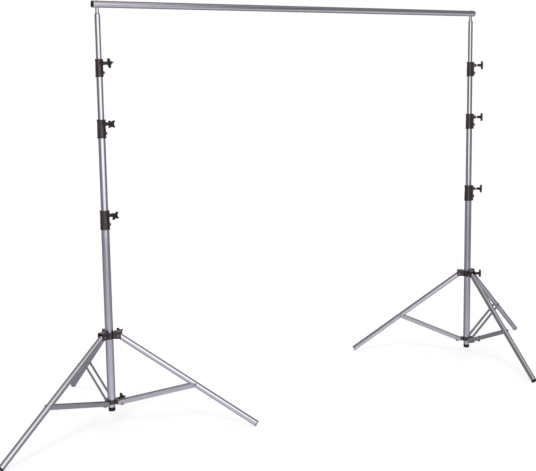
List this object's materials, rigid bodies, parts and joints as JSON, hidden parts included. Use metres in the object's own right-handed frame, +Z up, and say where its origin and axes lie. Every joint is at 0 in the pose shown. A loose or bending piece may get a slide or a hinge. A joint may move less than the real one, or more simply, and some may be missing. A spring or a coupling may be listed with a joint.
{
  "type": "backdrop frame",
  "caption": "Backdrop frame: telescoping tripod stands with star-knob clamps carry a level round crossbar on their spigots.",
  "frame": {"origin": "on the floor, under the middle of the bounding box", "axes": "+X along the crossbar towards the right stand, +Z up, -Y towards the viewer"},
  "size_m": [3.2392, 1.253, 1.832],
  "materials": {
    "satin_tube": "satin anodised tube",
    "flat_strip": "satin rolled strip",
    "moulded_plastic": "satin moulded black",
    "end_rubber": "matt black",
    "bright_steel": "bright turned"
  },
  "bodies": {
    "columns": {"left_column_tube": "satin_tube", "left_column_end_cap": "end_rubber", "left_lower_clamp": "moulded_plastic", "right_column_tube": "satin_tube", "right_column_end_cap": "end_rubber", "right_lower_clamp": "moulded_plastic"},
    "left_brace_collar": {"left_brace_collar": "moulded_plastic"},
    "left_leg_collar": {"left_leg_collar": "moulded_plastic", "left_leg_pin_1": "bright_steel", "left_leg_pin_2": "bright_steel", "left_leg_pin_3": "bright_steel"},
    "left_leg_1": {"left_leg_1": "satin_tube", "left_foot_1": "end_rubber"},
    "left_brace_1": {"left_brace_1": "flat_strip"},
    "left_leg_2": {"left_leg_2": "satin_tube", "left_foot_2": "end_rubber"},
    "left_brace_2": {"left_brace_2": "flat_strip"},
    "left_leg_3": {"left_leg_3": "satin_tube", "left_foot_3": "end_rubber"},
    "left_brace_3": {"left_brace_3": "flat_strip"},
    "left_lower_riser": {"left_lower_riser": "satin_tube", "left_middle_clamp": "moulded_plastic"},
    "left_middle_riser": {"left_middle_riser": "satin_tube", "left_upper_clamp": "moulded_plastic"},
    "left_upper_riser": {"left_upper_riser": "satin_tube", "left_spigot": "bright_steel"},
    "left_lower_clamp_knob": {"left_lower_clamp_knob": "moulded_plastic"},
    "left_middle_clamp_knob": {"left_middle_clamp_knob": "moulded_plastic"},
    "left_upper_clamp_knob": {"left_upper_clamp_knob": "moulded_plastic"},
    "left_leg_collar_knob": {"left_leg_collar_knob": "moulded_plastic"},
    "left_brace_collar_knob": {"left_brace_collar_knob": "moulded_plastic"},
    "right_brace_collar": {"right_brace_collar": "moulded_plastic"},
    "right_leg_collar": {"right_leg_collar": "moulded_plastic", "right_leg_pin_1": "bright_steel", "right_leg_pin_2": "bright_steel", "right_leg_pin_3": "bright_steel"},
    "right_leg_1": {"right_leg_1": "satin_tube", "right_foot_1": "end_rubber"},
    "right_brace_1": {"right_brace_1": "flat_strip"},
    "right_leg_2": {"right_leg_2": "satin_tube", "right_foot_2": "end_rubber"},
    "right_brace_2": {"right_brace_2": "flat_strip"},
    "right_leg_3": {"right_leg_3": "satin_tube", "right_foot_3": "end_rubber"},
    "right_brace_3": {"right_brace_3": "flat_strip"},
    "right_lower_riser": {"right_lower_riser": "satin_tube", "right_middle_clamp": "moulded_plastic"},
    "right_middle_riser": {"right_middle_riser": "satin_tube", "right_upper_clamp": "moulded_plastic"},
    "right_upper_riser": {"right_upper_riser": "satin_tube", "right_spigot": "bright_steel"},
    "right_lower_clamp_knob": {"right_lower_clamp_knob": "moulded_plastic"},
    "right_middle_clamp_knob": {"right_middle_clamp_knob": "moulded_plastic"},
    "right_upper_clamp_knob": {"right_upper_clamp_knob": "moulded_plastic"},
    "right_leg_collar_knob": {"right_leg_collar_knob": "moulded_plastic"},
    "right_brace_collar_knob": {"right_brace_collar_knob": "moulded_plastic"},
    "crossbar": {"crossbar": "satin_tube", "crossbar_cap_left": "end_rubber", "crossbar_cap_right": "end_rubber"}
  },
  "joints": [
    {"name": "left_tripod_slide", "type": "slide", "parent": "columns", "child": "left_brace_collar", "axis": [0, 0, -1], "range_m": [-0.064, 0.008]},
    {"name": "left_fold_slide", "type": "slide", "parent": "left_brace_collar", "child": "left_leg_collar", "axis": [0, 0, 1], "range_m": [0, 0.42373]},
    {"name": "left_leg_1_hinge", "type": "hinge", "parent": "left_leg_collar", "child": "left_leg_1", "pos_m": [-1.06937, -0.03303, 0.40479], "axis": [0.4163, -0.9092, 0], "range_deg": [0, 54.01]},
    {"name": "left_brace_1_hinge", "type": "hinge", "parent": "left_brace_collar", "child": "left_brace_1", "pos_m": [-1.07665, -0.03636, 0.10152], "axis": [-0.4163, 0.9092, 0], "range_deg": [0, 73.56]},
    {"name": "left_leg_2_hinge", "type": "hinge", "parent": "left_leg_collar", "child": "left_leg_2", "pos_m": [-0.99695, -0.03988, 0.40479], "axis": [0.5793, 0.8151, 0], "range_deg": [0, 54.01]},
    {"name": "left_brace_2_hinge", "type": "hinge", "parent": "left_brace_collar", "child": "left_brace_2", "pos_m": [-0.99043, -0.04451, 0.10152], "axis": [-0.5793, -0.8151, 0], "range_deg": [0, 73.56]},
    {"name": "left_leg_3_hinge", "type": "hinge", "parent": "left_leg_collar", "child": "left_leg_3", "pos_m": [-1.02723, 0.02626, 0.40479], "axis": [-0.9956, 0.0941, 0], "range_deg": [0, 54.01]},
    {"name": "left_brace_3_hinge", "type": "hinge", "parent": "left_brace_collar", "child": "left_brace_3", "pos_m": [-1.02648, 0.03423, 0.10152], "axis": [0.9956, -0.0941, 0], "range_deg": [0, 73.56]},
    {"name": "left_lower_riser_slide", "type": "slide", "parent": "columns", "child": "left_lower_riser", "axis": [0, 0, -1], "range_m": [-0.34, 0.299]},
    {"name": "left_middle_riser_slide", "type": "slide", "parent": "left_lower_riser", "child": "left_middle_riser", "axis": [0, 0, -1], "range_m": [-0.34, 0.176]},
    {"name": "left_upper_riser_slide", "type": "slide", "parent": "left_middle_riser", "child": "left_upper_riser", "axis": [0, 0, -1], "range_m": [-0.32, 0.165]},
    {"name": "left_lower_clamp_knob_turn", "type": "hinge", "parent": "columns", "child": "left_lower_clamp_knob", "pos_m": [-1.02418, -0.03481, 0.933], "axis": [0.342, -0.9397, 0], "range_deg": [0, 540]},
    {"name": "left_middle_clamp_knob_turn", "type": "hinge", "parent": "left_lower_riser", "child": "left_middle_clamp_knob", "pos_m": [-1.02486, -0.03293, 1.3201], "axis": [0.342, -0.9397, 0], "range_deg": [0, 540]},
    {"name": "left_upper_clamp_knob_turn", "type": "hinge", "parent": "left_middle_riser", "child": "left_upper_clamp_knob", "pos_m": [-1.02554, -0.03105, 1.5725], "axis": [0.342, -0.9397, 0], "range_deg": [0, 540]},
    {"name": "left_leg_collar_knob_turn", "type": "hinge", "parent": "left_leg_collar", "child": "left_leg_collar_knob", "pos_m": [-1.01118, -0.00639, 0.40479], "axis": [0.9092, 0.4163, 0], "range_deg": [0, 540]},
    {"name": "left_brace_collar_knob_turn", "type": "hinge", "parent": "left_brace_collar", "child": "left_brace_collar_knob", "pos_m": [-1.01118, -0.00639, 0.10652], "axis": [0.9092, 0.4163, 0], "range_deg": [0, 540]},
    {"name": "right_tripod_slide", "type": "slide", "parent": "columns", "child": "right_brace_collar", "axis": [0, 0, -1], "range_m": [-0.0307, 0.008]},
    {"name": "right_fold_slide", "type": "slide", "parent": "right_brace_collar", "child": "right_leg_collar", "axis": [0, 0, 1], "range_m": [0, 0.36114]},
    {"name": "right_leg_1_hinge", "type": "hinge", "parent": "right_leg_collar", "child": "right_leg_1", "pos_m": [1.00455, 0.01133, 0.4409], "axis": [-0.6401, -0.7683, 0], "range_deg": [0, 50.41]},
    {"name": "right_brace_1_hinge", "type": "hinge", "parent": "right_brace_collar", "child": "right_brace_1", "pos_m": [0.9984, 0.01646, 0.07504], "axis": [0.6401, 0.7683, 0], "range_deg": [0, 65.85]},
    {"name": "right_leg_2_hinge", "type": "hinge", "parent": "right_leg_collar", "child": "right_leg_2", "pos_m": [1.02967, -0.05694, 0.4409], "axis": [0.9854, -0.1702, 0], "range_deg": [0, 50.41]},
    {"name": "right_brace_2_hinge", "type": "hinge", "parent": "right_brace_collar", "child": "right_brace_2", "pos_m": [1.0283, -0.06482, 0.07504], "axis": [-0.9854, 0.1702, 0], "range_deg": [0, 65.85]},
    {"name": "right_leg_3_hinge", "type": "hinge", "parent": "right_leg_collar", "child": "right_leg_3", "pos_m": [1.07623, -0.00105, 0.4409], "axis": [-0.3453, 0.9385, 0], "range_deg": [0, 50.41]},
    {"name": "right_brace_3_hinge", "type": "hinge", "parent": "right_brace_collar", "child": "right_brace_3", "pos_m": [1.08374, 0.00172, 0.07504], "axis": [0.3453, -0.9385, 0], "range_deg": [0, 65.85]},
    {"name": "right_lower_riser_slide", "type": "slide", "parent": "columns", "child": "right_lower_riser", "axis": [0, 0, -1], "range_m": [-0.34, 0.299]},
    {"name": "right_middle_riser_slide", "type": "slide", "parent": "right_lower_riser", "child": "right_middle_riser", "axis": [0, 0, -1], "range_m": [-0.34, 0.176]},
    {"name": "right_upper_riser_slide", "type": "slide", "parent": "right_middle_riser", "child": "right_upper_riser", "axis": [0, 0, -1], "range_m": [-0.32, 0.165]},
    {"name": "right_lower_clamp_knob_turn", "type": "hinge", "parent": "columns", "child": "right_lower_clamp_knob", "pos_m": [1.05205, -0.02927, 0.8997], "axis": [0.7431, -0.6691, 0], "range_deg": [0, 540]},
    {"name": "right_middle_clamp_knob_turn", "type": "hinge", "parent": "right_lower_riser", "child": "right_middle_clamp_knob", "pos_m": [1.05056, -0.02793, 1.279], "axis": [0.7431, -0.6691, 0], "range_deg": [0, 540]},
    {"name": "right_upper_clamp_knob_turn", "type": "hinge", "parent": "right_middle_riser", "child": "right_upper_clamp_knob", "pos_m": [1.04908, -0.02659, 1.549], "axis": [0.7431, -0.6691, 0], "range_deg": [0, 540]},
    {"name": "right_leg_collar_knob_turn", "type": "hinge", "parent": "right_leg_collar", "child": "right_leg_collar_knob", "pos_m": [1.05372, -0.02963, 0.4409], "axis": [0.7683, -0.6401, 0], "range_deg": [0, 540]},
    {"name": "right_brace_collar_knob_turn", "type": "hinge", "parent": "right_brace_collar", "child": "right_brace_collar_knob", "pos_m": [1.05372, -0.02963, 0.08004], "axis": [0.7683, -0.6401, 0], "range_deg": [0, 540]},
    {"name": "crossbar_lift", "type": "slide", "parent": "left_upper_riser", "child": "crossbar", "axis": [0, 0, 1], "range_m": [0, 0.05]}
  ],
  "couplings": [
    {"joint": "left_leg_1_hinge", "follows": "left_fold_slide", "rad_per_m": 2.2243},
    {"joint": "left_brace_1_hinge", "follows": "left_fold_slide", "rad_per_m": 3.0296},
    {"joint": "left_leg_2_hinge", "follows": "left_fold_slide", "rad_per_m": 2.2243},
    {"joint": "left_brace_2_hinge", "follows": "left_fold_slide", "rad_per_m": 3.0296},
    {"joint": "left_leg_3_hinge", "follows": "left_fold_slide", "rad_per_m": 2.2243},
    {"joint": "left_brace_3_hinge", "follows": "left_fold_slide", "rad_per_m": 3.0296},
    {"joint": "right_leg_1_hinge", "follows": "right_fold_slide", "rad_per_m": 2.4358},
    {"joint": "right_brace_1_hinge", "follows": "right_fold_slide", "rad_per_m": 3.1822},
    {"joint": "right_leg_2_hinge", "follows": "right_fold_slide", "rad_per_m": 2.4358},
    {"joint": "right_brace_2_hinge", "follows": "right_fold_slide", "rad_per_m": 3.1822},
    {"joint": "right_leg_3_hinge", "follows": "right_fold_slide", "rad_per_m": 2.4358},
    {"joint": "right_brace_3_hinge", "follows": "right_fold_slide", "rad_per_m": 3.1822},
    {"joint": "right_lower_riser_slide", "follows": "left_lower_riser_slide", "ratio": 1},
    {"joint": "right_middle_riser_slide", "follows": "left_middle_riser_slide", "ratio": 1},
    {"joint": "right_upper_riser_slide", "follows": "left_upper_riser_slide", "ratio": 1}
  ]
}
